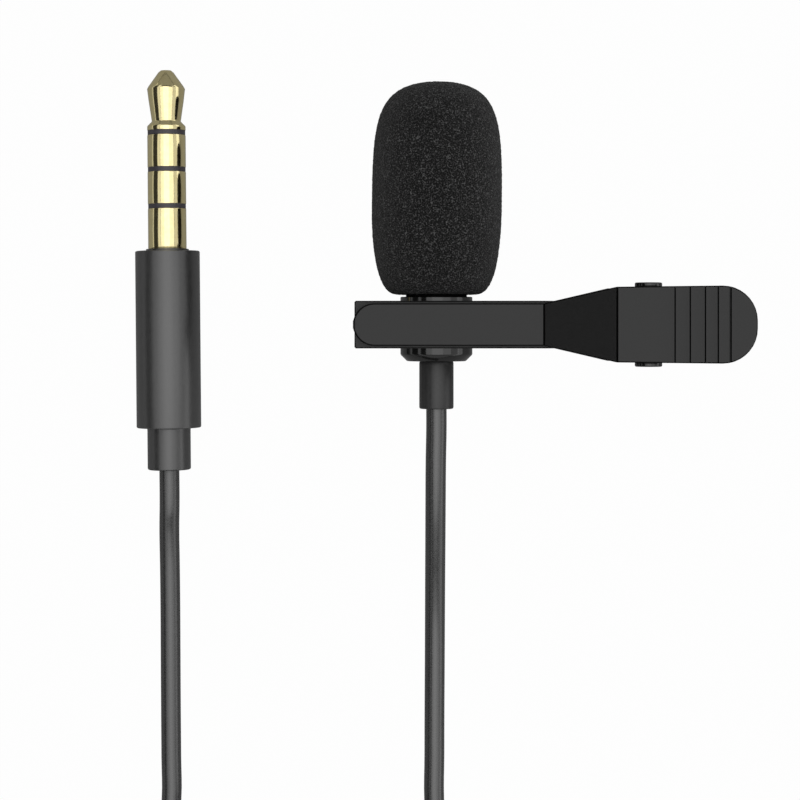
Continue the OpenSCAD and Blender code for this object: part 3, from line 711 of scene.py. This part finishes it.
def draw_bar(name, stations):
    """A flat bar drawn out along X from a small plate: (x, half width, under, top) stations."""
    lay_down_tools()
    x, half, under, top = stations[0]
    bpy.ops.mesh.primitive_plane_add(size=MM, location=spot(x, 0, (under + top) / 2),
                                     rotation=(0, -math.pi / 2, 0))
    piece = bpy.context.object
    piece.name = name
    bpy.ops.object.transform_apply(location=True, rotation=True, scale=True)
    bpy.ops.object.mode_set(mode="EDIT")
    bpy.ops.mesh.select_mode(type="FACE")
    bpy.ops.mesh.select_all(action="SELECT")
    bpy.ops.transform.resize(value=(1, 2 * half, top - under),
                             center_override=spot(x, 0, (under + top) / 2))
    for next_x, next_half, next_under, next_top in stations[1:]:
        rise = (next_under + next_top - under - top) / 2
        bpy.ops.mesh.extrude_region_move(
            TRANSFORM_OT_translate={"value": ((next_x - x) * MM, 0, rise * MM)})
        bpy.ops.transform.resize(
            value=(1, next_half / half, (next_top - next_under) / (top - under)),
            center_override=spot(next_x, 0, (next_under + next_top) / 2))
        x, half, under, top = next_x, next_half, next_under, next_top
    bpy.ops.mesh.select_all(action="SELECT")
    bpy.ops.mesh.normals_make_consistent(inside=False)
    return piece


def is_outline(edge):
    """True for a sharp edge between a lever's flat side and its edge wall."""
    if len(edge.link_faces) != 2:
        return False
    is_wall = any(abs(face.normal.y) > 0.4 or abs(face.normal.x) > 0.85 for face in edge.link_faces)
    return is_wall and edge.calc_face_angle() > math.radians(50)


def bevel_picked(width, segments, clamped=True):
    """Bevels the edges that are picked."""
    bpy.ops.mesh.bevel(offset=width * MM, segments=segments, affect="EDGES", clamp_overlap=clamped)


def raise_verts(piece, places, wanted, rise):
    """Raises the verts at these x places whose x and z pass the test."""
    def at_place(vert):
        x, _, z = back_to_mm(vert.co)
        return any(abs(x - place) < NEAR for place in places) and wanted(x, z)

    pick(piece, at_place, "VERT")
    bpy.ops.transform.translate(value=(0, 0, rise * MM))


def corner_stations(count=9):
    """The x places where the thumb plates' rounded corners have their verts."""
    corner = THUMB_END - PLATE_CORNER_R
    return [corner + PLATE_CORNER_R * math.sin(math.pi / 2 * i / count) for i in range(count + 1)]


def ear(name, bore, y_in, side, half, foot, tilt=0.0):
    """A hinge ear: a ring round the pin whose upper or lower half is drawn out to the lever.

    side is 1 for an ear under its lever and -1 for one that stands on it. The drawn end is flat:
    foot is its height at the pin's x, and it falls towards +X by tilt.
    """
    lay_down_tools()
    bpy.ops.mesh.primitive_circle_add(vertices=40, radius=bore * MM, fill_type="NOTHING",
                                      location=spot(PIN_X, y_in, PIN_Z),
                                      rotation=(math.pi / 2, 0, 0))
    piece = bpy.context.object
    piece.name = name
    bpy.ops.object.transform_apply(location=True, rotation=True, scale=True)
    bpy.ops.object.mode_set(mode="EDIT")
    bpy.ops.mesh.select_all(action="SELECT")
    bpy.ops.mesh.extrude_edges_move(TRANSFORM_OT_translate={"value": (0, 0, 0)})
    bpy.ops.transform.resize(value=(EAR_R / bore, 1, EAR_R / bore),
                             center_override=spot(PIN_X, y_in, PIN_Z))
    bpy.ops.mesh.select_all(action="SELECT")
    bpy.ops.mesh.extrude_region_move(
        TRANSFORM_OT_translate={"value": (0, EAR_T * MM, 0)})

    def in_drawn_half(vert):
        x, _, z = back_to_mm(vert.co)
        is_outer = math.hypot(x - PIN_X, z - PIN_Z) > (bore + EAR_R) / 2
        return is_outer and (z - PIN_Z) * side > EAR_WAIST

    pick(piece, in_drawn_half, "VERT")
    end = spot(PIN_X, y_in, foot)
    bpy.ops.transform.resize(value=(half / EAR_R / math.cos(tilt), 1, 0), center_override=end)
    if tilt:
        bpy.ops.transform.rotate(value=-tilt, orient_axis="Y", center_override=end)
    close_up(piece)
    ease_edges(piece, EAR_EASE)
    smooth(piece)
    return piece


def ear_pair(name, bore, inner, side, half, foot, tilt=0.0):
    """A lever's two ears, whose inner faces are that far from the clip's middle."""
    return [ear(name, bore, y_in, side, half, foot, tilt) for y_in in (-inner - EAR_T, inner)]


def front_top(x):
    """Height of the front lever's upper side at x."""
    slope = (PLATE_TOP - FRONT_TOP) / (PLATE_X - BEND_X)
    return FRONT_TOP + slope * min(max(x - BEND_X, 0), PLATE_X - BEND_X)


def rear_top(x):
    """Height of the rear lever's sloping upper side at x."""
    return REAR_UNDER + REAR_UPRIGHT - (x - BEND_X) * math.tan(REAR_SLOPE)


def make_front_lever():
    """The near jaw with its teeth, the slope, the ribbed thumb plate and two ears."""
    tip_turns = [math.radians(turn) for turn in range(14, 90, 8)]
    tip = [-FRONT_TIP] + [TEETH_FROM - FRONT_HALF * math.cos(turn) for turn in tip_turns]
    bar = [TEETH_FROM + TOOTH_PITCH / 2 * i for i in range(2 * TEETH + 1)]
    tooth_tips = bar[1::2]
    bends = [BEND_X - CREASE, BEND_X, BEND_X + CREASE, PLATE_X - CREASE, PLATE_X, PLATE_X + CREASE]
    under_bends = [BEND_X + UNDER_SHIFT, PLATE_X + UNDER_SHIFT]
    grooves = [edge + shift for edge in RIB_EDGES for shift in (-RIB_RUN, -RIB_W, RIB_FLOOR, 0)]
    places = sorted(set(tip + bar + bends + under_bends + [PIN_X] + grooves + corner_stations()))
    stations = []
    for x in places:
        under = front_top(x - UNDER_SHIFT) - LEVER_T
        if x in tooth_tips:
            under -= TOOTH_H
        stations.append((x, half_width(x, FRONT_HALF, round_tip=True), under, front_top(x)))
    lever = draw_bar("front_lever", stations)

    def above_jaw(edge):
        highest = max(back_to_mm(vert.co)[2] for vert in edge.verts)
        return is_outline(edge) and highest > FRONT_TOP - SKIN

    pick(lever, above_jaw, "EDGE")
    bevel_picked(FRONT_BEVEL, segments=1, clamped=False)

    def on_tip(vert):
        x, _, z = back_to_mm(vert.co)
        return x < TEETH_FROM - NEAR and z > FRONT_TOP - NEAR

    pick(lever, on_tip, "VERT")
    bpy.ops.transform.resize(value=(TIP_LIP, 1, 1), center_override=spot(TEETH_FROM, 0, FRONT_TOP))

    def on_top(x, z):
        return z > front_top(x) - SKIN

    raise_verts(lever, [edge - RIB_W for edge in RIB_EDGES], on_top, -RIB_RAMP)
    raise_verts(lever, [edge + RIB_FLOOR for edge in RIB_EDGES], on_top, -RIB_DEPTH)
    raise_verts(lever, [BEND_X], on_top, -CREASE)
    raise_verts(lever, [PLATE_X], on_top, -PLATE_CREASE_DEPTH)
    close_up(lever)
    smooth(lever, angle=24)
    ears = ear_pair("front_ear", PIN_R + PIN_FIT, FRONT_EAR_IN, 1, FRONT_EAR_HALF,
                    PLATE_UNDER + FRONT_EAR_SUNK)
    return join("clip_front_lever", [lever] + ears)


def paint_edge_shade(lever):
    """Paints shade on the edges, creases and grooves round the lever's upper side with a near-black
    finish.
    """
    lever.data.materials.append(painted_edge_shade)
    # Painted shade: the tilted faces of the upper side's bevels, creases and grooves take the near-black
    # finish.
    for face in lever.data.polygons:
        x, _, z = back_to_mm(face.center)
        tilted = math.hypot(face.normal.x, face.normal.y) > 0.55
        if tilted and face.normal.z > -0.1 and z > front_top(x) - SKIN:
            face.material_index = 1


front_lever = make_front_lever()
give(front_lever, clip_black, "clip_front", ("front_lever",))
paint_edge_shade(front_lever)


def make_rear_lever():
    """The far jaw with the microphone's ring, the slope with the grip grooves and two ears."""
    knee = BEND_X + (REAR_UPRIGHT - LEVER_T) / math.tan(REAR_SLOPE)
    flare_from = BEND_X + (REAR_HALF - FRONT_HALF) / FLARE
    ribs = [edge for edge in RIB_EDGES if edge < FOOT_X]
    grooves = [edge + shift for edge in ribs for shift in (-RIB_W, RIB_FLOOR, 0)]
    places = sorted(set([-REAR_TIP, -REAR_TIP + REAR_TIP_RING, 0.0, BEND_X, knee, flare_from, PLATE_X,
                         FOOT_X] + grooves + corner_stations()))
    stations = []
    for x in places:
        top = min(JAW_Z, rear_top(x))
        under = REAR_UNDER if x <= BEND_X else max(0.0, rear_top(x) - REAR_UPRIGHT)
        stations.append((x, half_width(x, REAR_HALF, round_tip=False), under, top))
    lever = draw_bar("rear_lever", stations)
    pick(lever, is_outline, "EDGE")
    bevel_picked(REAR_BEVEL, segments=1, clamped=False)

    def on_underside(x, z):
        return z < rear_top(x) - REAR_UPRIGHT + SKIN

    raise_verts(lever, [edge + RIB_FLOOR for edge in ribs], on_underside, RIB_DEPTH)
    close_up(lever)
    smooth(lever, angle=24)
    ring = turned("rear_ring", [
        (RING_BORE_R, -REAR_HALF), (RING_R, -REAR_HALF), (RING_R, REAR_HALF),
        (RING_BORE_R, REAR_HALF), (RING_BORE_R, -REAR_HALF)], 0, MIC_Z, eased=0.12)
    ears = ear_pair("rear_ear", PIN_BORE_R, REAR_EAR_IN, -1, REAR_EAR_HALF,
                    rear_top(PIN_X) - REAR_EAR_SUNK, REAR_SLOPE)
    return join("clip_rear_lever", [lever, ring] + ears)


rear_lever = make_rear_lever()
give(rear_lever, clip_black, "clip_rear", ("rear_lever",))

ear_out = FRONT_EAR_IN + EAR_T
head_end = ear_out + PIN_HEAD_T
head_flat = PIN_HEAD_R - PIN_HEAD_EASE
head_edge = head_end - PIN_HEAD_EASE
pin = turned("clip_hinge_pin", [
    (POLE_R, -head_end), (head_flat, -head_end), (PIN_HEAD_R, -head_edge), (PIN_HEAD_R, -ear_out),
    (PIN_R, -ear_out), (PIN_R, ear_out), (PIN_HEAD_R, ear_out), (PIN_HEAD_R, head_edge),
    (head_flat, head_end), (POLE_R, head_end),
], PIN_X, PIN_Z, sides=48, eased=0.03)
give(pin, gloss_black, "clip_front", ("hinge_pin",))


def leg_angle(end, side):
    """Where a leg that ends there leaves the spring's turns."""
    across, up = end[0] - PIN_X, end[1] - PIN_Z
    return math.atan2(up, across) + side * math.acos(SPRING_R / math.hypot(across, up))


def make_spring():
    """The torsion spring with a leg along each lever, and its width along the pin."""
    rear_end = (REAR_LEG_X, rear_top(REAR_LEG_X) + WIRE_D / 2 / math.cos(REAR_SLOPE))
    front_end = (FRONT_LEG_X, PLATE_UNDER - WIRE_D / 2)
    start = leg_angle(rear_end, -1)
    sweep = start - (leg_angle(front_end, 1) - 2 * math.pi) + 2 * math.pi * SPRING_TURNS
    width = SPRING_PITCH * sweep / (2 * math.pi)
    rings = SPRING_RINGS * (SPRING_TURNS + 1)
    turns = []
    for i in range(rings + 1):
        angle = start - i / rings * sweep
        turns.append((PIN_X + SPRING_R * math.cos(angle), (i / rings - 0.5) * width,
                      PIN_Z + SPRING_R * math.sin(angle)))
    route = ([(rear_end[0], -width / 2, rear_end[1])] + turns
             + [(front_end[0], width / 2, front_end[1])])
    piece = wire("clip_spring", route, WIRE_D, roundness=3, steps=3)
    for point in (piece.data.splines[0].bezier_points[0], piece.data.splines[0].bezier_points[-1]):
        point.handle_left_type = "VECTOR"
        point.handle_right_type = "VECTOR"
    lay_down_tools()
    piece.select_set(True)
    bpy.context.view_layer.objects.active = piece
    bpy.ops.object.convert(target="MESH")
    return bpy.context.object, width


spring, spring_width = make_spring()
give(spring, steel)
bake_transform(spring)
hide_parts("hinge_spring")


# ---------------------------------------------------------------- plug

def plug_piece(name, profile, finish, node, eased=0.05):
    """A piece turned about the plug's leaning axis, which stands for that node."""
    piece = lean_with_plug(turned(name, profile, PLUG_X, PLUG_Z, eased=eased))
    give(piece, finish, "microphone", (node,))
    return piece


def contact_profile(r_in, r_tube, tail, start, end, outer=PLUG_R):
    """Half section of a tube that ends in a full-width band."""
    return [(r_in, tail), (r_tube, tail), (r_tube, start), (outer, start), (outer, end),
            (r_in, end), (r_in, tail)]


sleeve_tail = MOULD_BACK - TAIL_STEP
ring_2_tail = sleeve_tail - 2 * TAIL_STEP
ring_1_tail = ring_2_tail - 2 * TAIL_STEP
rod_tail = ring_1_tail - 2 * TAIL_STEP
tube_1 = (ROD_R + INSULATION_T, ROD_R + INSULATION_T + TUBE_T)
tube_2 = (tube_1[1] + INSULATION_T, tube_1[1] + INSULATION_T + TUBE_T)
sleeve_in = tube_2[1] + INSULATION_T
band_r = PLUG_R - BAND_RECESS

plug_pieces = [
    plug_piece("plug_shell", [
        (CAVITY_R, HOUSING_BACK), (HOUSING_R, HOUSING_BACK), (HOUSING_R, SHOULDER),
        (ROOT_R, SHOULDER), (ROOT_R, FRONT_WALL_BACK), (CAVITY_R, FRONT_WALL_BACK),
        (CAVITY_R, HOUSING_BACK)], plug_black, "plug_housing", eased=0.12),
    plug_piece("plug_shoulder_collar", [
        (ROOT_R, SHOULDER), (COLLAR_R, SHOULDER), (COLLAR_R, COLLAR_FRONT), (ROOT_R, COLLAR_FRONT),
        (ROOT_R, SHOULDER)], plug_black, "plug_collar", eased=0.03),
    plug_piece("plug_cord_relief", [
        (CORD_R, RELIEF_END), (RELIEF_R, RELIEF_END), (RELIEF_R, HOUSING_BACK),
        (CAVITY_R, HOUSING_BACK), (CAVITY_R, RELIEF_ROOT), (CORD_R, RELIEF_ROOT),
        (CORD_R, RELIEF_END)], plug_relief_black, "plug_strain_relief", eased=0.16),
    plug_piece("plug_contact_sleeve", [
        (sleeve_in, sleeve_tail), (ROOT_R, sleeve_tail), (ROOT_R, ANCHOR_BACK),
        (ANCHOR_R, ANCHOR_BACK), (ANCHOR_R, ANCHOR_FRONT), (ROOT_R, ANCHOR_FRONT),
        (ROOT_R, COLLAR_FRONT), (PLUG_R, COLLAR_FRONT), (PLUG_R, SLEEVE_FRONT),
        (sleeve_in, SLEEVE_FRONT), (sleeve_in, sleeve_tail)], gold, "plug_sleeve"),
    plug_piece("plug_contact_ring_2", contact_profile(tube_2[0], tube_2[1], ring_2_tail, *RING_2),
               gold, "plug_second_ring"),
    plug_piece("plug_contact_ring_1", contact_profile(tube_1[0], tube_1[1], ring_1_tail, *RING_1),
               gold, "plug_first_ring"),
    plug_piece("plug_band_3", contact_profile(tube_2[1], sleeve_in, ring_2_tail + TAIL_STEP,
                                              SLEEVE_FRONT, RING_2[0], band_r),
               band_black, "plug_sleeve_insulator", eased=0),
    plug_piece("plug_band_2", contact_profile(tube_1[1], tube_2[0], ring_1_tail + TAIL_STEP,
                                              RING_2[1], RING_1[0], band_r),
               band_black, "plug_middle_insulator", eased=0),
    plug_piece("plug_band_1", contact_profile(ROD_R, tube_1[0], rod_tail + TAIL_STEP,
                                              RING_1[1], TIP_BACK, band_r),
               band_black, "plug_tip_insulator", eased=0),
    plug_piece("plug_contact_tip", [
        (ROD_R, rod_tail), (ROD_R, TIP_BACK), (PLUG_R, TIP_BACK), (PLUG_R, TIP_BACK + TIP_SHANK),
        *TIP_OUTLINE], gold, "plug_tip", eased=0.06),
]


# ---------------------------------------------------------------- tie

def make_tie():
    """The flat strap round the coil's turns."""
    lay_down_tools()
    middle = spot(COIL_X, (TIE_NEAR + TIE_FAR) / 2, TIE_TOP / 2)
    bpy.ops.mesh.primitive_cube_add(size=1, location=middle)
    strap = bpy.context.object
    strap.scale = (TIE_W * MM, (TIE_NEAR - TIE_FAR) * MM, TIE_TOP * MM)
    bpy.ops.object.transform_apply(location=True, rotation=True, scale=True)
    bpy.ops.object.mode_set(mode="EDIT")
    pick(strap, lambda f: abs(f.normal.x) > 0.9, "FACE")
    bpy.ops.mesh.delete(type="ONLY_FACE")
    pick(strap, lambda e: len(e.link_faces) == 2, "EDGE")
    bevel_picked(TIE_BEND_R, segments=4)
    bpy.ops.mesh.select_all(action="SELECT")
    bpy.ops.mesh.normals_make_consistent(inside=False)
    bpy.ops.object.mode_set(mode="OBJECT")
    use_modifier(strap, "SOLIDIFY", thickness=TIE_T * MM, offset=-1.0, use_even_offset=True)
    ease_edges(strap, TIE_EASE)
    smooth(strap)
    strap.name = "cord_tie_strap"
    return strap


tie = make_tie()
give(tie, strap_black, "microphone", ("cord_tie",))


# ---------------------------------------------------------------- inner parts that the frame brings

for node, finish in {
    "front_grille": satin_black,
    "dust_mesh": mesh_black,
    "electret_capsule": aluminium,
    "capsule_gasket": black_rubber,
    "capsule_board": board_green,
    "capsule_leads": copper,
    "capsule_cord_end": jacket_black,
    "cord_crimp": steel,
    "plug_inner_mould": inner_white,
    "plug_cord_end": jacket_black,
    "plug_leads": copper,
}.items():
    give(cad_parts[node], finish)


# ---------------------------------------------------------------- floor and light

FLOOR_SIDE = 3.0
PAPER_GREY = 0.18
# How much of the floor's own white each kind of ray sees, in place of the lit paper.
FLOOR_WHITE = {"Is Camera Ray": 0.985, "Is Glossy Ray": 0.12, "Is Transmission Ray": 0.985}


def make_floor():
    """A plain sheet of paper on the table, which also looks white to the camera."""
    lay_down_tools()
    bpy.ops.mesh.primitive_plane_add(size=FLOOR_SIDE, location=(0, 0, 0))
    floor = bpy.context.object
    floor.name = "floor"
    sheet = bpy.data.materials.new("white_paper")
    sheet.use_nodes = True
    tree = sheet.node_tree
    tree.nodes.clear()
    paper = tree.nodes.new("ShaderNodeBsdfDiffuse")
    paper.inputs["Color"].default_value = (PAPER_GREY, PAPER_GREY, PAPER_GREY, 1)
    glow = tree.nodes.new("ShaderNodeEmission")
    glow.inputs["Strength"].default_value = 1.0
    seen = tree.nodes.new("ShaderNodeMixShader")
    rays = tree.nodes.new("ShaderNodeLightPath")
    out = tree.nodes.new("ShaderNodeOutputMaterial")
    share = None
    for ray, part in FLOOR_WHITE.items():
        step = tree.nodes.new("ShaderNodeMath")
        step.operation = "MULTIPLY_ADD"
        step.inputs[1].default_value = part
        step.inputs[2].default_value = 0.0
        tree.links.new(rays.outputs[ray], step.inputs[0])
        if share is not None:
            tree.links.new(share, step.inputs[2])
        share = step.outputs["Value"]
    tree.links.new(share, seen.inputs["Fac"])
    tree.links.new(paper.outputs["BSDF"], seen.inputs[1])
    tree.links.new(glow.outputs["Emission"], seen.inputs[2])
    tree.links.new(seen.outputs["Shader"], out.inputs["Surface"])
    floor.data.materials.append(sheet)
    return floor


def soft_lamp(name, place, aim, width, depth, strength):
    """A rectangular lamp whose face has that brightness, where 1 is as bright as white paper.

    Its place, aim, width and depth are in metres in the frame.
    """
    lamp = bpy.data.lights.new(name, "AREA")
    lamp.shape = "RECTANGLE"
    lamp.size = width
    lamp.size_y = depth
    lamp.energy = strength * math.pi * width * depth
    holder = bpy.data.objects.new(name, lamp)
    holder.location = place
    holder.rotation_euler = (Vector(aim) - Vector(place)).to_track_quat("-Z", "Y").to_euler()
    holder.visible_camera = False
    bpy.context.scene.collection.objects.link(holder)
    return holder


make_floor()
soft_lamp("overhead_softbox", place=(0.12, 0.0, 0.62), aim=(0.12, 0.0, 0.0),
          width=1.10, depth=1.1, strength=1.12)
soft_lamp("overhead_core", place=(0.02, 0.0, 0.61), aim=(0.02, 0.0, 0.0),
          width=0.38, depth=1.1, strength=0.40)
soft_lamp("left_card", place=(-0.0785, 0.0, 0.05), aim=(-0.0785, 0.0, 0.0),
          width=0.025, depth=0.26, strength=0.75)
soft_lamp("left_strip", place=(-0.13, 0.0, 0.010), aim=(0.0, 0.0, 0.010),
          width=0.30, depth=0.014, strength=0.5)
soft_lamp("right_card", place=(0.25, 0.0, 0.047), aim=(0.0, 0.0, 0.047),
          width=0.80, depth=0.09, strength=1.0)
soft_lamp("right_softbox", place=(0.70, 0.0, 0.30), aim=(0.70, 0.0, 0.0),
          width=0.75, depth=1.2, strength=0.6)
soft_lamp("front_fill", place=(0.0, -0.70, 0.25), aim=(0.0, 0.0, 0.25),
          width=1.20, depth=0.46, strength=0.40)
soft_lamp("back_fill", place=(0.0, 0.70, 0.25), aim=(0.0, 0.0, 0.25),
          width=1.20, depth=0.46, strength=0.20)

room = bpy.data.worlds.new("studio")
room.use_nodes = True
room.node_tree.nodes["Background"].inputs["Color"].default_value = (0.03, 0.03, 0.03, 1)
bpy.context.scene.world = room
bpy.context.scene.view_settings.view_transform = "Standard"
